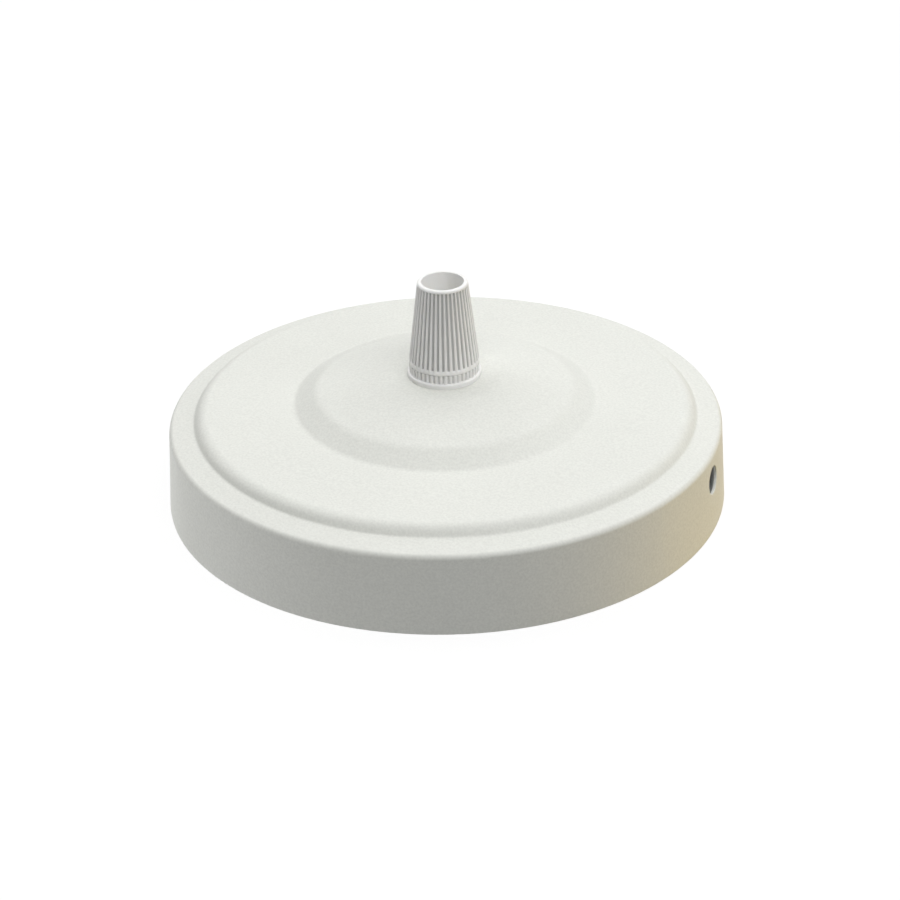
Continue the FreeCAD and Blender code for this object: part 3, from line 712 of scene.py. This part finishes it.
def seen_ray(tree):
    """1 for what the camera sees, directly, in gloss or through something clear."""
    path = tree.nodes.new("ShaderNodeLightPath").outputs
    seen = path["Is Camera Ray"]
    for kind in ("Is Glossy Ray", "Is Transmission Ray"):
        seen = add(tree, "ShaderNodeMath", {0: seen, 1: path[kind]}, operation="MAXIMUM").outputs[0]
    return seen


def table_top(s):
    """A light table's top: white to the eye with the object's shadow on it, and clear to all other rays.

    It is clear from below too, and fades to plain white away from the object, so that no far edge shows."""
    material = bpy.data.materials.new("table_top")
    material.use_nodes = True
    tree = material.node_tree
    tree.nodes.clear()
    clear = tree.nodes.new("ShaderNodeBsdfTransparent").outputs[0]
    glow = add(tree, "ShaderNodeEmission", {"Color": (*WHITE, 1.0), "Strength": s.floor_glow})
    matt = add(tree, "ShaderNodeBsdfDiffuse", {"Color": (*[s.floor_matt] * 3, 1.0)})
    white = add(tree, "ShaderNodeAddShader", {0: glow.outputs[0], 1: matt.outputs[0]})
    place = tree.nodes.new("ShaderNodeTexCoord").outputs["Object"]
    away = add(tree, "ShaderNodeVectorMath", {0: place}, operation="LENGTH").outputs["Value"]
    fade = {0: away, 1: s.fade_start, 2: s.fade_end, 3: 0.0, 4: 1.0}
    far = add(tree, "ShaderNodeMapRange", fade).outputs[0]
    bare = add(tree, "ShaderNodeEmission", {"Color": (*WHITE, 1.0), "Strength": 1.0})
    top = add(tree, "ShaderNodeMixShader", {0: far, 1: white.outputs[0], 2: bare.outputs[0]})
    seen = add(tree, "ShaderNodeMixShader", {0: seen_ray(tree), 1: clear, 2: top.outputs[0]})
    below = tree.nodes.new("ShaderNodeNewGeometry").outputs["Backfacing"]
    both = add(tree, "ShaderNodeMixShader", {0: below, 1: seen.outputs[0], 2: clear})
    add(tree, "ShaderNodeOutputMaterial", {"Surface": both.outputs[0]})
    return material


def surround(scene, ambient):
    """White to the eye, and a low even light on the object."""
    world = bpy.data.worlds.new("surround")
    scene.world = world
    world.use_nodes = True
    tree = world.node_tree
    tree.nodes.clear()
    soft = add(tree, "ShaderNodeBackground", {"Color": (*WHITE, 1.0), "Strength": ambient})
    white = add(tree, "ShaderNodeBackground", {"Color": (*WHITE, 1.0), "Strength": 1.0})
    mixed = add(tree, "ShaderNodeMixShader", {0: seen_ray(tree), 1: soft.outputs[0], 2: white.outputs[0]})
    add(tree, "ShaderNodeOutputWorld", {"Surface": mixed.outputs[0]})


def lamp(name, place, aim, size, watts, tint=WHITE):
    """A square soft box that faces the point it aims at."""
    data = bpy.data.lights.new(name, "AREA")
    data.shape = "SQUARE"
    data.size = size
    data.energy = watts
    data.color = tint
    item = bpy.data.objects.new(name, data)
    bpy.context.scene.collection.objects.link(item)
    item.location = place
    item.rotation_mode = "QUATERNION"
    item.rotation_quaternion = (aim - place).to_track_quat("-Z", "Y")


class ROSE_OT_stage(Operator):
    """Lay the floor, set the soft boxes and place the camera"""
    bl_idname = "rose.stage"
    bl_label = "Stage"

    def execute(self, context):
        scene = context.scene
        s = scene.rose_stage
        scene.view_settings.view_transform = "Standard"
        half = s.floor_size / 2
        corners = np.array([[-1, -1], [1, -1], [1, 1], [-1, 1]]) * half
        mesh = bpy.data.meshes.new("floor")
        mesh.from_pydata(np.column_stack([corners, np.full(4, -s.floor_drop)]), [], [(0, 1, 2, 3)])
        floor = bpy.data.objects.new("floor", mesh)
        scene.collection.objects.link(floor)
        wear(floor, table_top(s))
        surround(scene, s.ambient)

        ahead = Vector((-math.sin(s.azimuth), math.cos(s.azimuth), 0.0))
        right = Vector((math.cos(s.azimuth), math.sin(s.azimuth), 0.0))
        above = Vector((0.0, 0.0, 1.0))
        room = Matrix((right, ahead, above)).transposed()
        for name, (*place, side) in SOFT_BOXES.items():
            lamp(name, room @ Vector(place), Vector(CROWN_AIM), side, getattr(s, name))
        lamp("warm", room @ Vector(WARM_PLACE), room @ Vector(WARM_AIM), WARM_SIDE, s.warm, s.warm_colour)

        back = above * math.sin(s.elevation) - ahead * math.cos(s.elevation)
        up = above * math.cos(s.elevation) + ahead * math.sin(s.elevation)
        leaning = Matrix((right, up, back)).transposed() @ Matrix.Rotation(-s.roll, 3, "Z")
        aimed = leaning @ Matrix.Rotation(-s.pan, 3, "Y") @ Matrix.Rotation(s.tilt, 3, "X")
        data = bpy.data.cameras.new("camera")
        data.lens = s.lens
        data.sensor_width = 36.0
        data.clip_start = 0.01
        camera = bpy.data.objects.new("camera", data)
        scene.collection.objects.link(camera)
        camera.matrix_world = Matrix.Translation(back * s.distance) @ aimed.to_4x4()
        scene.camera = camera
        return {"FINISHED"}


class ROSE_PT_panel(Panel):
    """Sizes, colours and makers of the ceiling rose"""
    bl_idname = "ROSE_PT_panel"
    bl_label = "Ceiling rose"
    bl_space_type = "VIEW_3D"
    bl_region_type = "UI"
    bl_category = "Ceiling rose"

    def draw(self, context):
        for step in STEPS:
            self.layout.operator(step.bl_idname)
        for group in GROUPS:
            box = self.layout.box()
            settings = getattr(context.scene, group)
            for name in settings.bl_rna.properties.keys():
                if name not in ("rna_type", "name"):
                    box.prop(settings, name)


STEPS = (ROSE_OT_canopy, ROSE_OT_grip, ROSE_OT_fixings, ROSE_OT_terminals, ROSE_OT_stage)
GROUPS = {
    "rose_canopy": RoseCanopySizes,
    "rose_grip": RoseGripSizes,
    "rose_finish": RoseFinishColours,
    "rose_stage": RoseStageSettings,
}


def register():
    for item in (*GROUPS.values(), *STEPS, ROSE_PT_panel):
        bpy.utils.register_class(item)
    for name, group in GROUPS.items():
        setattr(bpy.types.Scene, name, PointerProperty(type=group))


def unregister():
    for name in GROUPS:
        delattr(bpy.types.Scene, name)
    for item in reversed((*GROUPS.values(), *STEPS, ROSE_PT_panel)):
        bpy.utils.unregister_class(item)


def main():
    register()
    bpy.ops.rose.canopy()
    bpy.ops.rose.grip()
    bpy.ops.rose.fixings()
    bpy.ops.rose.terminals()
    bpy.ops.rose.stage()
    bpy.context.view_layer.update()


if __name__ == "__main__":
    main()
